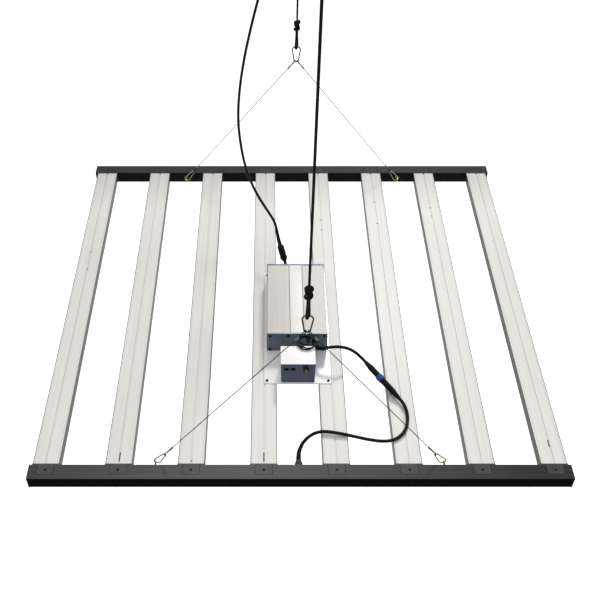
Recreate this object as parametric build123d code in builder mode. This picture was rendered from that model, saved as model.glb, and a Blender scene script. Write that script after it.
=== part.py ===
from build123d import *
import os
from math import asin, atan2, cos, degrees, pi, radians, sin, sqrt, tan

# An eight-bar LED grow light, hung from the ceiling on two ropes, in millimetres.
# +X runs along the rails and +Y from the front rail to the rear one. The origin is
# the midpoint between the two ceiling hooks, so the whole light lies below z = 0.

os.makedirs("parts", exist_ok=True)

# ---- Driving dimensions -------------------------------------------------------
hang_height = 1175      # ceiling hooks to the fixture's top plane
fixture_shift = -4.5    # the fixture's middle, seen from the line between the ropes

rail_length = 1165      # overall size along X, end plugs included
frame_depth = 1106      # overall size along Y, over both rails
rail_width = 36
rail_height = 33
rail_wall = 2
rail_radius = 3         # the top's outer edge
shelf_depth = 7         # rail top to the shelf that carries the bar brackets
end_plug_flange = 2
end_plug_spigot = 14
plug_clearance = 0.2

bar_count = 8
bar_pitch = 156
bar_width = 58
bar_height = 22
bar_wall = 2
bar_web = 8             # solid web under the middle groove
bar_top_extra = 0.4     # the top wall is that much thicker than the others
bar_radius = 0.8        # a bar's corners
groove_width = 4
groove_depth = 1.6
edge_groove_inset = 5   # fine lines along both edges of a bar's top
edge_groove_width = 1
edge_groove_depth = 0.5
led_recess_width = 50
led_recess_depth = 2.4
led_board_width = 48
led_board_thickness = 1.6
led_board_margin = 12   # bar end to board end

cap_thickness = 3       # end cap between a bar and its rail
cap_overhang = 1        # cap beyond the bar's sides
tab_width = 36
tab_depth = 23.5
notch_clearance = 0.8
spigot_length = 12
spigot_clearance = 0.4

m4 = 4                  # screw thread
m4_hole = 4.2
m4_head = 6.4
m4_head_height = 2
m4_reach = 6            # thread past the piece that it holds

eye_shift = 1           # eye bolts, outwards from the middle between two bars
eye_drop = 14           # eye centre below the rail's top
eye_inner = 4           # inner radius of the eye
eye_rod = 2.2
eye_standoff = 9        # rail face to the eye's nearest edge

plate_width = 157
plate_front = -293
plate_rear = 80
plate_thickness = 2
plate_screw_x = 71.5
plate_screw_inset = 8

driver_front = -191
driver_rear = 52
driver_width = 142
driver_height = 58
driver_wall = 3
end_plate_thickness = 2.5
end_plate_overhang = 1.3
rib_pitch = 6
rib_gap = 2.5
rib_depth = 1
label_width = 32        # smooth strip between the ribs
driver_screw_x = (21, 64)
driver_screw_inset = 6
driver_foot_x = 40      # screws up into the driver from below
driver_foot_y = (-165, 25)
output_gland_x = 44
output_gland_z = 38
dimming_gland_x = 26
dimming_gland_z = 46
mains_gland_x = -22
mains_gland_z = 26

box_front = -289        # controller box
box_rear = -231
box_width = 80
box_height = 60
box_wall = 2
panel_thickness = 3
panel_top_width = 79.6
panel_bottom_width = 76.6
jack_x = (-26.5, -11.5)
socket_z = 47.4         # middle of the jacks and of the dimmer
jack_width = 12.4
jack_height = 11
jack_depth = 16
jack_mouth_width = 9.6
jack_mouth_height = 7
jack_mouth_depth = 12
jack_clearance = 0.2
board_thickness = 1.6
pot_x = 18
pot_shaft = 6
pot_shaft_length = 11
shaft_hole = 6.6
knob_diameter = 13
knob_length = 12
knob_gap = 0.5          # knob's back to the panel
knob_bore_clearance = 0.05

box_foot_x = 25         # screws up into the box from below
box_foot_y = -258
lead_hole = (32, 30)    # the dimming lead's way in, through the box's back

gland_x = -2.5          # cable gland in the front rail
gland_z = -18
gland_thread = 12
gland_tail = 2          # thread past the rail's wall
harness_offset = 15     # each bar's lead, from the bar's middle
harness_z = -12.5
harness_hole = 5
harness_lead = 3.6
harness_bundle = 7
harness_shift = 10      # the bundle's way, outwards from the front rail's middle

# Suspension hardware: length, both widths and wire of the two kinds of snap hook
carabiner_length = 48
carabiner_wide = 24
carabiner_narrow = 15.3
carabiner_rod = 3.2
snap_length = 39
snap_wide = 17
snap_narrow = 10
snap_rod = 2.4
hook_nose = 2           # hook end past the wide bend
gate_gap = 0.3          # running gap at both ends of a gate
gate_pin_share = 0.45   # pin diameter over wire diameter
gate_pin_clearance = 0.06
gate_lug_share = 0.4    # lug thickness over wire diameter
gate_side_gap = 0.15

pull_y = 487            # the ropes hang this far from the fixture's middle
pull_z = 391.6          # where the two wires of one end point to, above the rails
rope_diameter = 5
rope_loop_angle = 30    # the loop's turn about the rope
rope_loop_radius = 5.5
rope_loop_length = 43   # hook to knot
knot_length = 32
knot_width = 19
wire_diameter = 1.8
wire_loop_radius = 3.2
wire_loop_length = 18
ferrule_length = 10
ferrule_diameter = 4.4
hook_clearance = 0.3
eye_bearing_gap = 2     # the small hook's wire lies slanted in its eye

rail_gland_width = 19
rail_gland_height = 20
driver_gland_width = 13
dimming_gland_width = 10
driver_gland_height = 12
mains_gland_height = 8

mains_diameter = 7
output_diameter = 7.5
dimming_diameter = 3
cord_gap = 0.3          # a cord lies this far from its coil

power_coil_radius = 38  # spare mains cord, to the middle of its turns
power_coil_bundle = 16
power_coil_turns = 3.375
power_coil_x = 4.5
power_coil_y = 475
power_coil_z = 707.6
dimming_coil_radius = 21
dimming_coil_bundle = 7.2
dimming_coil_turns = 3.25
dimming_coil_x = 22
dimming_coil_y = -222
tie_band = 6
tie_thickness = 1.5
plug_tail = 52          # coil to plug
plug_width = 27
plug_depth = 20
plug_length = 38
plug_relief = 15
blade_length = 16

# ---- What follows from them -----------------------------------------------------
rail_top = -hang_height
rail_y = (frame_depth - rail_width) / 2
rail_face_y = frame_depth / 2 - rail_width
bar_x = [(i - (bar_count - 1) / 2) * bar_pitch for i in range(bar_count)]
bar_length = 2 * (rail_face_y - cap_thickness)
eye_x = 2 * bar_pitch + eye_shift            # two pitches out from the middle
harness_y = rail_y + harness_shift
deck = plate_thickness                       # height that the driver and box stand on
tab_screw_y = rail_face_y + tab_depth * 0.56
ends = (-1, 1)                               # front and rear, or left and right


def at(x, y, z):
    """A point given from the fixture's middle, at its top plane."""
    return Vector(fixture_shift + x, y, rail_top + z)


def level(z):
    """A horizontal plane at that height over the fixture's top."""
    return Plane(origin=at(0, 0, z))


def upright(y):
    """A plane facing the front, with X to the right and Z up."""
    return Plane(origin=at(0, y, 0), x_dir=(1, 0, 0), z_dir=(0, -1, 0))


def sideways(x):
    """A plane facing the right end, with Y to the right and Z up."""
    return Plane(origin=at(x, 0, 0), x_dir=(0, 1, 0), z_dir=(1, 0, 0))


def rearward(y):
    """A plane facing the rear, with X to the left and Z up."""
    return Plane(origin=at(0, y, 0), x_dir=(-1, 0, 0), z_dir=(0, 1, 0))


def axis_plane(point, direction):
    """A plane at a point, facing along a direction."""
    return Plane(origin=point, z_dir=direction)


# ---- Rails ----------------------------------------------------------------------
def make_rail(end):
    """One rail: a tube with a shelf inside, notched over each bar."""
    slot_height = shelf_depth - rail_wall
    inner = rail_width - 2 * rail_wall
    lower = rail_height - shelf_depth - 2 * rail_wall
    with BuildPart() as rail:
        with BuildSketch(sideways(end_plug_flange - rail_length / 2)) as profile:
            with Locations((end * rail_y, -rail_height / 2)):
                Rectangle(rail_width, rail_height)
            outer = profile.vertices().group_by(Axis.Y)[-1 if end > 0 else 0]
            fillet(outer.sort_by(Axis.Z)[-1], radius=rail_radius)
            with Locations((end * rail_y, -rail_wall - slot_height / 2)):
                Rectangle(inner, slot_height, mode=Mode.SUBTRACT)
            with Locations((end * rail_y, rail_wall + lower / 2 - rail_height)):
                Rectangle(inner, lower, mode=Mode.SUBTRACT)
        extrude(amount=rail_length - 2 * end_plug_flange)
        with BuildSketch(level(0)):
            depth = tab_depth + notch_clearance
            with Locations([(x, end * (rail_face_y + depth / 2)) for x in bar_x]):
                Rectangle(tab_width + 2 * notch_clearance, depth)
        extrude(amount=-shelf_depth, mode=Mode.SUBTRACT)
        with BuildSketch(level(-shelf_depth)):
            with Locations([(x, end * tab_screw_y) for x in bar_x]):
                Circle(m4_hole / 2)
        extrude(amount=-rail_wall, mode=Mode.SUBTRACT)
        with BuildSketch(upright(end * (rail_face_y - 1))):
            with Locations([(x, -eye_drop) for x in (-eye_x, eye_x)]):
                Circle(m4_hole / 2)
            if end < 0:
                with Locations((gland_x, gland_z)):
                    Circle(gland_thread / 2 + 0.1)
                with Locations([(x + harness_offset, harness_z) for x in bar_x]):
                    Circle(harness_hole / 2)
        extrude(amount=-end * (rail_wall + 1), mode=Mode.SUBTRACT)
    return rail.part


with BuildPart() as front_rail:
    add(make_rail(-1))
front_rail.part.label = "front_rail"
export_step(front_rail.part, "parts/front_rail.step")

with BuildPart() as rear_rail:
    add(make_rail(1))
rear_rail.part.label = "rear_rail"
export_step(rear_rail.part, "parts/rear_rail.step")

with BuildPart() as rail_end_plugs:
    plug_height = rail_height - shelf_depth - 2 * rail_wall - 2 * plug_clearance
    plug_width = rail_width - 2 * rail_wall - 2 * plug_clearance
    plug_middle = -shelf_depth - rail_wall - plug_clearance - plug_height / 2
    for hand in ends:
        flange = sideways(hand * (rail_length / 2 - end_plug_flange))
        for end in ends:
            with BuildSketch(flange) as face:
                with Locations((end * rail_y, -rail_height / 2)):
                    Rectangle(rail_width, rail_height)
                outer = face.vertices().group_by(Axis.Y)[-1 if end > 0 else 0]
                fillet(outer.sort_by(Axis.Z)[-1], radius=rail_radius)
            extrude(amount=hand * end_plug_flange)
            with BuildSketch(flange):
                with Locations((end * rail_y, plug_middle)):
                    Rectangle(plug_width, plug_height)
            extrude(amount=-hand * end_plug_spigot)
rail_end_plugs.part.label = "rail_end_plugs"
export_step(rail_end_plugs.part, "parts/rail_end_plugs.step")

# ---- Light bars -----------------------------------------------------------------
chamber_top = -bar_wall - bar_top_extra
chamber_bottom = led_recess_depth + bar_wall - bar_height
chamber_width = (bar_width - bar_web) / 2 - bar_wall
chamber_height = chamber_top - chamber_bottom
chamber_middle = (chamber_top + chamber_bottom) / 2
chamber_offset = (bar_web + chamber_width) / 2

# Rivets in the middle grooves: bar number, place along the bar
rivet_places = (
    (0, 100), (0, 167), (4, 72), (4, 259), (4, 300), (5, 287), (5, 380), (6, 319), (6, 355),
)
rivet_head = 3.6
rivet_head_height = 0.9
rivet_shank = 2.4
rivet_depth = 6

for i, x in enumerate(bar_x):
    with BuildPart() as bar:
        with BuildSketch(upright(-bar_length / 2)):
            with Locations((x, -bar_height / 2)):
                RectangleRounded(bar_width, bar_height, bar_radius)
            with Locations((x, -groove_depth / 2)):
                Rectangle(groove_width, groove_depth, mode=Mode.SUBTRACT)
            for hand in ends:
                edge = x + hand * (bar_width / 2 - edge_groove_inset)
                with Locations((edge, -edge_groove_depth / 2)):
                    Rectangle(edge_groove_width, edge_groove_depth, mode=Mode.SUBTRACT)
                with Locations((x + hand * chamber_offset, chamber_middle)):
                    Rectangle(chamber_width, chamber_height, mode=Mode.SUBTRACT)
            with Locations((x, led_recess_depth / 2 - bar_height)):
                Rectangle(led_recess_width, led_recess_depth, mode=Mode.SUBTRACT)
        extrude(amount=-bar_length)
        own_rivets = [(x, y) for number, y in rivet_places if number == i]
        if own_rivets:
            with BuildSketch(level(-groove_depth)):
                with Locations(own_rivets):
                    Circle(rivet_shank / 2)
            extrude(amount=-rivet_depth, mode=Mode.SUBTRACT)
        held_screws = [
            (hand * plate_screw_x, y)
            for hand in ends
            for y in (plate_front + plate_screw_inset, plate_rear - plate_screw_inset)
            if abs(hand * plate_screw_x - x) < bar_width / 2
        ]
        if held_screws:
            with BuildSketch(level(0)):
                with Locations(held_screws):
                    Circle(m4_hole / 2)
            extrude(amount=chamber_top, mode=Mode.SUBTRACT)
    bar.part.label = f"bar_{i + 1}"
    export_step(bar.part, f"parts/bar_{i + 1}.step")

with BuildPart() as led_boards:
    with BuildSketch(level(led_recess_depth - bar_height)):
        with Locations([(x, 0) for x in bar_x]):
            Rectangle(led_board_width, bar_length - 2 * led_board_margin)
    extrude(amount=-led_board_thickness)
led_boards.part.label = "led_boards"
export_step(led_boards.part, "parts/led_boards.step")

with BuildPart() as bar_brackets:
    for end in ends:
        with BuildSketch(upright(end * (rail_face_y - cap_thickness))):
            with Locations([(x, -(bar_height + cap_overhang) / 2) for x in bar_x]):
                Rectangle(bar_width + 2 * cap_overhang, bar_height + cap_overhang)
        extrude(amount=-end * cap_thickness)
        with BuildSketch(level(0)):
            with Locations([(x, end * (rail_face_y + tab_depth / 2)) for x in bar_x]):
                Rectangle(tab_width, tab_depth)
        extrude(amount=-shelf_depth)
        with BuildSketch(upright(end * (rail_face_y - cap_thickness))):
            for hand in ends:
                with Locations([(x + hand * chamber_offset, chamber_middle) for x in bar_x]):
                    Rectangle(
                        chamber_width - 2 * spigot_clearance,
                        chamber_height - 2 * spigot_clearance,
                    )
        extrude(amount=end * spigot_length)
        with BuildSketch(level(0)):
            with Locations([(x, end * tab_screw_y) for x in bar_x]):
                Circle(m4_head / 2 + 0.1)
        extrude(amount=-m4_head_height, mode=Mode.SUBTRACT)
        with BuildSketch(level(0)):
            with Locations([(x, end * tab_screw_y) for x in bar_x]):
                Circle(m4_hole / 2)
        extrude(amount=-shelf_depth, mode=Mode.SUBTRACT)
    with BuildSketch(upright(-rail_face_y)):
        with Locations([(x + harness_offset, harness_z) for x in bar_x]):
            Circle(harness_hole / 2)
    extrude(amount=-cap_thickness - spigot_length, mode=Mode.SUBTRACT)
bar_brackets.part.label = "bar_brackets"
export_step(bar_brackets.part, "parts/bar_brackets.step")


def make_screws(plane, places, reach):
    """Socket screws with their heads on a plane and their threads below it."""
    with BuildPart() as screws:
        with BuildSketch(plane):
            with Locations(places):
                Circle(m4_head / 2)
        extrude(amount=m4_head_height)
        with BuildSketch(plane):
            with Locations(places):
                Circle(m4 / 2)
        extrude(amount=-reach)
        with BuildSketch(plane.offset(m4_head_height)):
            with Locations(places):
                RegularPolygon(m4_head * 0.24, 6)
        extrude(amount=-m4_head_height * 0.6, mode=Mode.SUBTRACT)
    return screws.part


with BuildPart() as bracket_screws:
    bracket_screw_places = [(x, end * tab_screw_y) for x in bar_x for end in ends]
    bracket_screw_reach = shelf_depth - m4_head_height + rail_wall + m4_reach / 3
    add(make_screws(level(-m4_head_height), bracket_screw_places, bracket_screw_reach))
bracket_screws.part.label = "bracket_screws"
export_step(bracket_screws.part, "parts/bracket_screws.step")

with BuildPart() as bar_rivets:
    rivet_points = [(bar_x[number], y) for number, y in rivet_places]
    with BuildSketch(level(-groove_depth)):
        with Locations(rivet_points):
            Circle(rivet_head / 2)
    extrude(amount=rivet_head_height, taper=20)
    with BuildSketch(level(-groove_depth)):
        with Locations(rivet_points):
            Circle(rivet_shank / 2)
    extrude(amount=-rivet_depth)
bar_rivets.part.label = "bar_rivets"
export_step(bar_rivets.part, "parts/bar_rivets.step")

with BuildPart() as harness:
    with BuildSketch(sideways(bar_x[0] + harness_offset - harness_lead)):
        with Locations((-harness_y, harness_z)):
            Circle(harness_bundle / 2)
    extrude(amount=bar_x[-1] - bar_x[0] + 2 * harness_lead)
    with BuildSketch(upright(-harness_y)):
        with Locations([(x + harness_offset, harness_z) for x in bar_x]):
            Circle(harness_lead / 2)
    extrude(amount=-(harness_y - bar_length / 2 + 2 * spigot_length))
    with BuildSketch(upright(-harness_y)):
        with Locations((gland_x, gland_z)):
            Circle(harness_bundle / 2)
    extrude(amount=-(harness_y - rail_face_y - rail_wall - gland_tail))
harness.part.label = "rail_harness"
export_step(harness.part, "parts/rail_harness.step")

# ---- Eye bolts and the hardware that hangs from them --------------------------------
eye_radius = eye_inner + eye_rod / 2
eye_y = rail_face_y - eye_standoff - eye_radius - eye_rod / 2
eye_nut_width = 7
eye_nut_height = 3.2


def make_nut(end, hand):
    """The nut of one eye bolt, inside its rail."""
    with BuildPart() as nut:
        with BuildSketch(upright(end * (rail_face_y + rail_wall))):
            with Locations((hand * eye_x, -eye_drop)):
                RegularPolygon(eye_nut_width / 2, 6, major_radius=False)
                Circle(m4 / 2 + 0.05, mode=Mode.SUBTRACT)
        extrude(amount=-end * eye_nut_height)
    return nut.part


with BuildPart() as eye_bolts:
    shank_start = eye_y + eye_radius * 0.95
    shank_length = rail_face_y + rail_wall + eye_nut_height + 1 - shank_start
    for end in ends:
        for hand in ends:
            with BuildSketch(sideways(hand * eye_x)):
                with Locations((end * eye_y, -eye_drop)):
                    Circle(eye_radius + eye_rod / 2)
                    Circle(eye_inner, mode=Mode.SUBTRACT)
            extrude(amount=eye_rod / 2, both=True)
            with BuildSketch(upright(end * shank_start)):
                with Locations((hand * eye_x, -eye_drop)):
                    Circle(m4 / 2)
            extrude(amount=-end * shank_length)
            with BuildSketch(upright(end * rail_face_y)):
                with Locations((hand * eye_x, -eye_drop)):
                    Circle(eye_rod * 1.6)
            extrude(amount=end * 1.2)
    for end in ends:
        for hand in ends:
            add(make_nut(end, hand))
eye_bolts.part.label = "eye_bolts"
export_step(eye_bolts.part, "parts/eye_bolts.step")


def hook_outline(length, wide, narrow, rod):
    """The centre line's main points, up from the wide bend at (0, 0)."""
    wide_radius = (wide - rod) / 2
    narrow_radius = (narrow - rod) / 2
    centre_line = length - rod
    lean = asin((wide_radius - narrow_radius) / (centre_line - wide_radius - narrow_radius))
    low = Vector(wide_radius * cos(lean), wide_radius * (1 + sin(lean)))
    high_y = centre_line - narrow_radius * (1 - sin(lean))
    high = Vector(narrow_radius * cos(lean), high_y)
    return low, high, centre_line


def hook_size(size):
    """Length, both widths and wire of a carabiner or a small snap hook."""
    if size == "carabiner":
        return carabiner_length, carabiner_wide, carabiner_narrow, carabiner_rod
    return snap_length, snap_wide, snap_narrow, snap_rod


def make_hook(size, frame):
    """A pear-shaped hook in a plane: Y from its wide bend to its narrow one."""
    length, wide, narrow, rod = hook_size(size)
    low, high, centre_line = hook_outline(length, wide, narrow, rod)
    down = (low - high).normalized()
    pivot = high + down * (rod + gate_gap)
    lug_thickness = gate_lug_share * rod
    nose = low - down * hook_nose
    with BuildPart() as hook:
        with BuildLine(frame) as wire:
            Line((nose.X, nose.Y), (low.X, low.Y))
            ThreePointArc((low.X, low.Y), (0, 0), (-low.X, low.Y))
            Line((-low.X, low.Y), (-high.X, high.Y))
            ThreePointArc((-high.X, high.Y), (0, centre_line), (high.X, high.Y))
        with BuildSketch(Plane(origin=wire.line @ 0, z_dir=wire.line % 0)):
            Circle(rod / 2)
        sweep()
        with BuildSketch(frame):
            with Locations(pivot):
                Circle(rod / 2)
            middle = (high + pivot) * 0.5
            with Locations(Location(middle, degrees(atan2(down.Y, down.X)))):
                Rectangle((pivot - high).length, rod)
            with Locations(pivot):
                Circle(gate_pin_share * rod / 2 + gate_pin_clearance, mode=Mode.SUBTRACT)
        extrude(amount=lug_thickness / 2, both=True)
    return hook.part


def make_gate(size, frame):
    """The straight spring gate of such a hook, closed, with its hinge pin."""
    length, wide, narrow, rod = hook_size(size)
    low, high, centre_line = hook_outline(length, wide, narrow, rod)
    down = (low - high).normalized()
    pivot = high + down * (rod + gate_gap)
    tip = low - down * (hook_nose + gate_gap)
    slot = gate_lug_share * rod + 2 * gate_side_gap
    cheek_radius = rod * 0.53
    cheek_reach = rod * 0.46
    turn = degrees(atan2(down.Y, down.X))
    pivot_place = frame.from_local_coords(pivot)
    run = frame.from_local_coords(tip) - pivot_place
    with BuildPart() as gate:
        with BuildSketch(axis_plane(pivot_place, run)):
            Circle(rod / 2)
        extrude(amount=run.length)
        with BuildSketch(frame):
            with Locations(pivot):
                Circle(cheek_radius)
        extrude(amount=cheek_reach, both=True)
        with BuildSketch(frame):
            with Locations(Location(pivot + down * rod * 0.15, turn)):
                Rectangle(rod * 1.7, rod * 1.4)
        extrude(amount=slot / 2, both=True, mode=Mode.SUBTRACT)
        with BuildSketch(frame):
            with Locations(pivot):
                Circle(gate_pin_share * rod / 2)
        extrude(amount=slot / 2 + 0.1, both=True)
    return gate.part


def pull_point(end):
    """The middle of a carabiner's narrow bend, where both wires point."""
    return Vector(0, end * pull_y, rail_top + pull_z)


def wire_way(end, hand):
    """An eye's bearing point and the direction of its wire."""
    bearing_drop = eye_drop - eye_inner + snap_rod / 2 + eye_bearing_gap
    bearing = at(hand * eye_x, end * eye_y, -bearing_drop)
    return bearing, (pull_point(end) - bearing).normalized()


def snap_frame(end, hand):
    """The plane of a small hook, with its gate on the side away from the bar."""
    bearing, along = wire_way(end, hand)
    across = Vector(hand, 0, 0)
    across = (across - along * across.dot(along)).normalized()
    return Plane(origin=bearing, x_dir=across, z_dir=across.cross(along))


def carabiner_frame(end, z):
    """The plane of a large hook, its wide bend upwards at that height."""
    return Plane(origin=(0, end * pull_y, z), x_dir=(-1, 0, 0), z_dir=(0, -1, 0))


carabiner_line = carabiner_length - carabiner_rod
narrow_bend = (carabiner_narrow - carabiner_rod) / 2
lower_bend_z = rail_top + pull_z - narrow_bend + carabiner_line   # wide bend of the lower ones
upper_bend_z = carabiner_rod / 2                                  # and of the ceiling ones
corner_names = {(-1, -1): "front_left", (-1, 1): "front_right"}
corner_names |= {(1, -1): "rear_left", (1, 1): "rear_right"}
end_names = {-1: "front", 1: "rear"}

with BuildPart() as snap_hooks:
    for corner in corner_names:
        add(make_hook("snap", snap_frame(*corner)))
snap_hooks.part.label = "snap_hooks"
export_step(snap_hooks.part, "parts/snap_hooks.step")

for corner, corner_name in corner_names.items():
    with BuildPart() as snap_gate:
        add(make_gate("snap", snap_frame(*corner)))
    snap_gate.part.label = f"{corner_name}_gate"
    export_step(snap_gate.part, f"parts/{corner_name}_gate.step")

with BuildPart() as carabiners:
    for end in ends:
        for bend_z in (lower_bend_z, upper_bend_z):
            add(make_hook("carabiner", carabiner_frame(end, bend_z)))
carabiners.part.label = "carabiners"
export_step(carabiners.part, "parts/carabiners.step")

for end, end_name in end_names.items():
    with BuildPart() as lower_gate:
        add(make_gate("carabiner", carabiner_frame(end, lower_bend_z)))
    lower_gate.part.label = f"{end_name}_carabiner_gate"
    export_step(lower_gate.part, f"parts/{end_name}_carabiner_gate.step")
    with BuildPart() as upper_gate:
        add(make_gate("carabiner", carabiner_frame(end, upper_bend_z)))
    upper_gate.part.label = f"{end_name}_ceiling_gate"
    export_step(upper_gate.part, f"parts/{end_name}_ceiling_gate.step")

# ---- Ropes, with a loop and a knot at each end ----------------------------------------
knot_bulges = 3
loop_lower_z = lower_bend_z
loop_upper_z = upper_bend_z - carabiner_line
rope_low_z = loop_lower_z + rope_loop_length + knot_length
rope_high_z = loop_upper_z - rope_loop_length - knot_length


def make_rope_end(end, loop_z, up):
    """A loop round a hook's wire and the knot that closes it; up is 1 or -1."""
    turn = radians(rope_loop_angle)
    loop_plane = Plane(
        origin=(0, end * pull_y, loop_z),
        x_dir=(sin(turn), cos(turn), 0),
        z_dir=(cos(turn) * up, -sin(turn) * up, 0),
    )
    knot_plane = Plane(
        origin=(0, end * pull_y, loop_z + up * rope_loop_length),
        x_dir=(up, 0, 0),
        z_dir=(0, -1, 0),
    )
    r = rope_loop_radius
    bulge = knot_length / knot_bulges
    with BuildPart() as rope_end:
        with BuildLine(loop_plane) as legs:
            Line((-r, rope_loop_length + bulge / 2), (-r, 0))
            ThreePointArc((-r, 0), (0, -r), (r, 0))
            Line((r, 0), (r, rope_loop_length + bulge / 2))
        with BuildSketch(Plane(origin=legs.line @ 0, z_dir=legs.line % 0)):
            Circle(rope_diameter / 2)
        sweep()
        with BuildSketch(knot_plane):
            with BuildLine():
                waist = knot_width * 0.36
                Line((0, 0), (waist, 0))
                for k in range(knot_bulges):
                    low = k * bulge
                    ThreePointArc(
                        (waist, low), (knot_width / 2, low + bulge / 2), (waist, low + bulge)
                    )
                Line((waist, knot_length), (0, knot_length))
                Line((0, knot_length), (0, 0))
            make_face()
        revolve(axis=Axis((0, end * pull_y, 0), (0, 0, 1)))
    return rope_end.part


with BuildPart() as rope_ends:
    for end in ends:
        add(make_rope_end(end, loop_lower_z, 1))
        add(make_rope_end(end, loop_upper_z, -1))
rope_ends.part.label = "rope_ends"
export_step(rope_ends.part, "parts/rope_ends.step")

for end, end_name in end_names.items():
    with BuildPart() as rope:
        with BuildSketch(Plane.XY.offset(rope_low_z)):
            with Locations((0, end * pull_y)):
                Circle(rope_diameter / 2)
        extrude(amount=rope_high_z - rope_low_z)
    rope.part.label = f"{end_name}_rope"
    export_step(rope.part, f"parts/{end_name}_rope.step")

# ---- Suspension wires ---------------------------------------------------------------
snap_line = snap_length - snap_rod
low_loop_shift = wire_loop_radius - snap_rod / 2 - hook_clearance - wire_diameter / 2
high_loop_shift = carabiner_rod / 2 + hook_clearance + wire_diameter / 2 - wire_loop_radius


def wire_stations(end, hand):
    """Both loop middles, both ferrules' outer faces, and the wire's direction."""
    bearing, along = wire_way(end, hand)
    low_loop = bearing + along * (snap_line + low_loop_shift)
    high_loop = pull_point(end) - along * (narrow_bend - high_loop_shift)
    low_ferrule = low_loop + along * wire_loop_length
    high_ferrule = high_loop - along * wire_loop_length
    return low_loop, high_loop, low_ferrule, high_ferrule, along


def make_wire_loop(middle, towards, hook_across):
    """An open loop of wire whose two legs run together into a ferrule."""
    normal = towards.cross(towards.cross(hook_across)).normalized()
    frame = Plane(origin=middle, x_dir=towards.cross(normal), z_dir=normal)
    r = wire_loop_radius
    leg_gap = wire_diameter * 0.55
    lean = asin((r - leg_gap) / wire_loop_length)
    touch = Vector(r * cos(lean), r * sin(lean))
    with BuildPart() as loop:
        with BuildLine(frame) as legs:
            Line((-leg_gap, wire_loop_length), (-touch.X, touch.Y))
            ThreePointArc((-touch.X, touch.Y), (0, -r), (touch.X, touch.Y))
            Line((touch.X, touch.Y), (leg_gap, wire_loop_length))
        with BuildSketch(Plane(origin=legs.line @ 0, z_dir=legs.line % 0)):
            Circle(wire_diameter / 2)
        sweep(transition=Transition.ROUND)
        trim = Plane(origin=frame.from_local_coords((0, wire_loop_length)), z_dir=-towards)
        split(bisect_by=trim, keep=Keep.TOP)
    return loop.part


with BuildPart() as wire_loops:
    for corner in corner_names:
        low_loop, high_loop, low_ferrule, high_ferrule, along = wire_stations(*corner)
        add(make_wire_loop(low_loop, along, snap_frame(*corner).x_dir))
        add(make_wire_loop(high_loop, -along, Vector(1, 0, 0)))
wire_loops.part.label = "wire_loops"
export_step(wire_loops.part, "parts/wire_loops.step")

with BuildPart() as wire_ferrules:
    for corner in corner_names:
        low_loop, high_loop, low_ferrule, high_ferrule, along = wire_stations(*corner)
        for foot, way in ((low_ferrule, along), (high_ferrule, -along)):
            with BuildSketch(axis_plane(foot, way)):
                Circle(ferrule_diameter / 2)
            extrude(amount=ferrule_length)
wire_ferrules.part.label = "wire_ferrules"
export_step(wire_ferrules.part, "parts/wire_ferrules.step")

for corner, corner_name in corner_names.items():
    low_loop, high_loop, low_ferrule, high_ferrule, along = wire_stations(*corner)
    start = low_ferrule + along * ferrule_length
    free_wire = (high_ferrule - start).length - ferrule_length
    with BuildPart() as wire:
        with BuildSketch(axis_plane(start, along)):
            Circle(wire_diameter / 2)
        extrude(amount=free_wire)
    wire.part.label = f"{corner_name}_wire"
    export_step(wire.part, f"parts/{corner_name}_wire.step")
    print(f"{corner_name} wire: {free_wire:.1f} mm between ferrules")

# ---- Mounting plate ---------------------------------------------------------------
plate_length = plate_rear - plate_front
plate_y = (plate_rear + plate_front) / 2
plate_screw_y = (plate_front + plate_screw_inset, plate_rear - plate_screw_inset)
plate_screw_places = [(hand * plate_screw_x, y) for hand in ends for y in plate_screw_y]
driver_foot_places = [(hand * driver_foot_x, y) for hand in ends for y in driver_foot_y]
box_foot_places = [(hand * box_foot_x, box_foot_y) for hand in ends]

with BuildPart() as mounting_plate:
    with BuildSketch(level(0)):
        with Locations((0, plate_y)):
            RectangleRounded(plate_width, plate_length, 3)
        with Locations(plate_screw_places + driver_foot_places + box_foot_places):
            Circle(m4_hole / 2, mode=Mode.SUBTRACT)
    extrude(amount=plate_thickness)
mounting_plate.part.label = "mounting_plate"
export_step(mounting_plate.part, "parts/mounting_plate.step")

with BuildPart() as deck_screws:
    add(make_screws(level(deck), plate_screw_places, deck - chamber_top + m4_reach / 3))
    under = Plane(origin=at(0, 0, 0), x_dir=(1, 0, 0), z_dir=(0, 0, -1))
    under_places = [(x, -y) for x, y in driver_foot_places + box_foot_places]
    add(make_screws(under, under_places, deck + m4_reach))
deck_screws.part.label = "deck_screws"
export_step(deck_screws.part, "parts/deck_screws.step")

# ---- Driver -----------------------------------------------------------------------
case_front = driver_front + end_plate_thickness
case_rear = driver_rear - end_plate_thickness
case_middle = deck + driver_height / 2
case_length = case_rear - case_front
end_plate_height = driver_height + end_plate_overhang
end_plate_width = driver_width + 2 * end_plate_overhang
screw_rows = (deck + driver_screw_inset, deck + driver_height - driver_screw_inset)
driver_screw_places = [
    (hand * x, z) for hand in ends for x in driver_screw_x for z in screw_rows
]
boss_width = 9
rib_count = int((driver_width - label_width) / 2 // rib_pitch)
rib_x = [label_width / 2 + (k + 0.5) * rib_pitch for k in range(rib_count)]

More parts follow.
